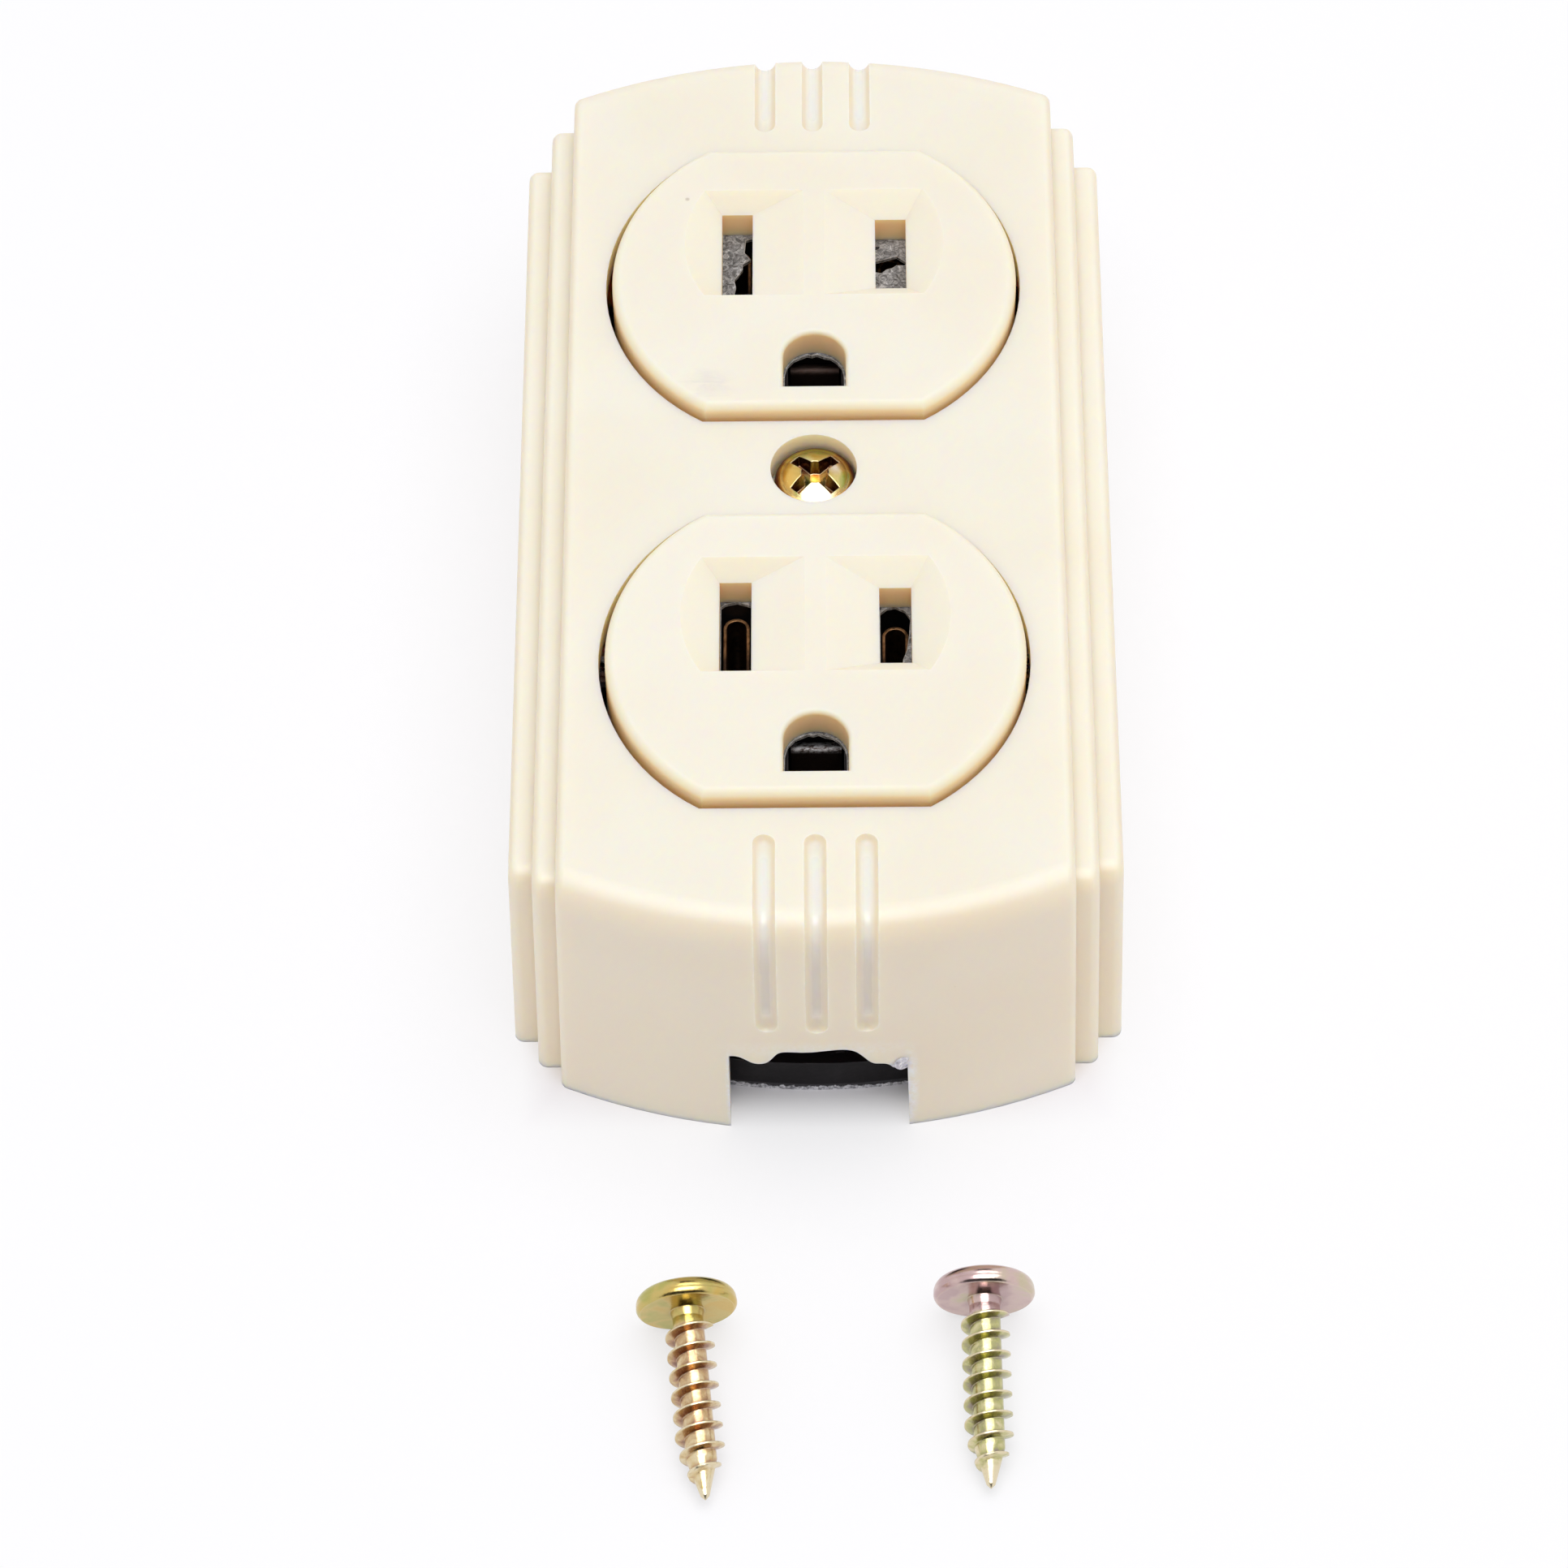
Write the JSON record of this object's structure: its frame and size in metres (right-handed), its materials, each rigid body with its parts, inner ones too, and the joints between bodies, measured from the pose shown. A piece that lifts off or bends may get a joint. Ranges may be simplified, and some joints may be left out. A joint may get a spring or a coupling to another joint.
{
  "type": "duplex wall outlet",
  "caption": "Surface-mounted twin grounded socket outlet with a stepped ivory cover, black base, sprung contacts, screw terminals and loose mounting screws.",
  "frame": {"origin": "middle of the outlet's back, on the wall plane", "axes": "+Z out of the wall, +Y towards the end away from the ground holes (up on a wall), +X to the right when facing the outlet"},
  "size_m": [0.049, 0.1272, 0.028],
  "materials": {
    "ivory_moulding": "satin moulded ivory",
    "black_moulding": "matte phenolic",
    "fibre_sheet": "smooth grey fibre",
    "plain_brass": "stamped",
    "tinned_brass": "tinned",
    "contact_copper": "bent strip",
    "yellow_zinc_steel": "iridescent yellow zinc",
    "plated_steel": "zinc plated",
    "grey_liner": "thin torn liner",
    "green_steel": "green chromate"
  },
  "bodies": {
    "receptacle": {"assembly_screws": "plated_steel", "base": "black_moulding", "contact_housing_lower": "black_moulding", "contact_housing_upper": "black_moulding", "contact_rivets": "plain_brass", "cover_nut": "plain_brass", "ground_contact_lower": "contact_copper", "ground_contact_upper": "contact_copper", "ground_strap": "plain_brass", "hot_bar": "plain_brass", "hot_contact_lower": "contact_copper", "hot_contact_upper": "contact_copper", "insulating_sheet": "fibre_sheet", "neutral_bar": "tinned_brass", "neutral_contact_lower": "contact_copper", "neutral_contact_upper": "contact_copper", "receptacle_front": "ivory_moulding", "slot_liner_lower": "grey_liner", "slot_liner_upper": "grey_liner"},
    "cover": {"cover": "ivory_moulding"},
    "cover_screw": {"cover_screw": "yellow_zinc_steel"},
    "mounting_screw_left": {"mounting_screw_left": "yellow_zinc_steel"},
    "mounting_screw_right": {"mounting_screw_right": "yellow_zinc_steel"},
    "neutral_upper_clamp": {"neutral_upper_clamp": "plated_steel"},
    "neutral_lower_clamp": {"neutral_lower_clamp": "plated_steel"},
    "hot_upper_clamp": {"hot_upper_clamp": "plated_steel"},
    "hot_lower_clamp": {"hot_lower_clamp": "plated_steel"},
    "ground_clamp": {"ground_clamp": "plated_steel"},
    "neutral_upper_terminal_screw": {"neutral_upper_terminal_screw": "plated_steel"},
    "neutral_lower_terminal_screw": {"neutral_lower_terminal_screw": "plated_steel"},
    "hot_upper_terminal_screw": {"hot_upper_terminal_screw": "plain_brass"},
    "hot_lower_terminal_screw": {"hot_lower_terminal_screw": "plain_brass"},
    "ground_terminal_screw": {"ground_terminal_screw": "green_steel"}
  },
  "joints": [
    {"name": "cover_lift", "type": "slide", "parent": "receptacle", "child": "cover", "axis": [0, 0, 1], "range_m": [0, 0.04]},
    {"name": "cover_screw_turn", "type": "hinge", "parent": "cover", "child": "cover_screw", "pos_m": [0, 0, 0.0255], "axis": [0, 0, 1], "continuous": true},
    {"name": "neutral_upper_clamp_lift", "type": "slide", "parent": "receptacle", "child": "neutral_upper_clamp", "axis": [0, 0, 1], "range_m": [0, 0.00238]},
    {"name": "neutral_upper_screw_turn", "type": "hinge", "parent": "neutral_upper_clamp", "child": "neutral_upper_terminal_screw", "pos_m": [-0.0168, 0.0042, 0.0102], "axis": [0, 0, 1], "range_deg": [0, 1080]},
    {"name": "neutral_lower_clamp_lift", "type": "slide", "parent": "receptacle", "child": "neutral_lower_clamp", "axis": [0, 0, 1], "range_m": [0, 0.00238]},
    {"name": "neutral_lower_screw_turn", "type": "hinge", "parent": "neutral_lower_clamp", "child": "neutral_lower_terminal_screw", "pos_m": [-0.0168, -0.0042, 0.0102], "axis": [0, 0, 1], "range_deg": [0, 1080]},
    {"name": "hot_upper_clamp_lift", "type": "slide", "parent": "receptacle", "child": "hot_upper_clamp", "axis": [0, 0, 1], "range_m": [0, 0.00238]},
    {"name": "hot_upper_screw_turn", "type": "hinge", "parent": "hot_upper_clamp", "child": "hot_upper_terminal_screw", "pos_m": [0.0168, 0.0042, 0.0102], "axis": [0, 0, 1], "range_deg": [0, 1080]},
    {"name": "hot_lower_clamp_lift", "type": "slide", "parent": "receptacle", "child": "hot_lower_clamp", "axis": [0, 0, 1], "range_m": [0, 0.00238]},
    {"name": "hot_lower_screw_turn", "type": "hinge", "parent": "hot_lower_clamp", "child": "hot_lower_terminal_screw", "pos_m": [0.0168, -0.0042, 0.0102], "axis": [0, 0, 1], "range_deg": [0, 1080]},
    {"name": "ground_clamp_lift", "type": "slide", "parent": "receptacle", "child": "ground_clamp", "axis": [0, 0, 1], "range_m": [0, 0.00238]},
    {"name": "ground_screw_turn", "type": "hinge", "parent": "ground_clamp", "child": "ground_terminal_screw", "pos_m": [-0.0168, -0.0326, 0.0072], "axis": [0, 0, 1], "range_deg": [0, 1080]},
    {"name": "mounting_screw_left_pick_up", "type": "slide", "parent": "receptacle", "child": "mounting_screw_left", "axis": [0, 0, 1], "range_m": [0, 0.03]},
    {"name": "mounting_screw_right_pick_up", "type": "slide", "parent": "receptacle", "child": "mounting_screw_right", "axis": [0, 0, 1], "range_m": [0, 0.03]}
  ],
  "couplings": [
    {"joint": "neutral_upper_screw_turn", "follows": "neutral_upper_clamp_lift", "rad_per_m": 7913.3},
    {"joint": "neutral_lower_screw_turn", "follows": "neutral_lower_clamp_lift", "rad_per_m": 7913.3},
    {"joint": "hot_upper_screw_turn", "follows": "hot_upper_clamp_lift", "rad_per_m": 7913.3},
    {"joint": "hot_lower_screw_turn", "follows": "hot_lower_clamp_lift", "rad_per_m": 7913.3},
    {"joint": "ground_screw_turn", "follows": "ground_clamp_lift", "rad_per_m": 7913.3}
  ]
}
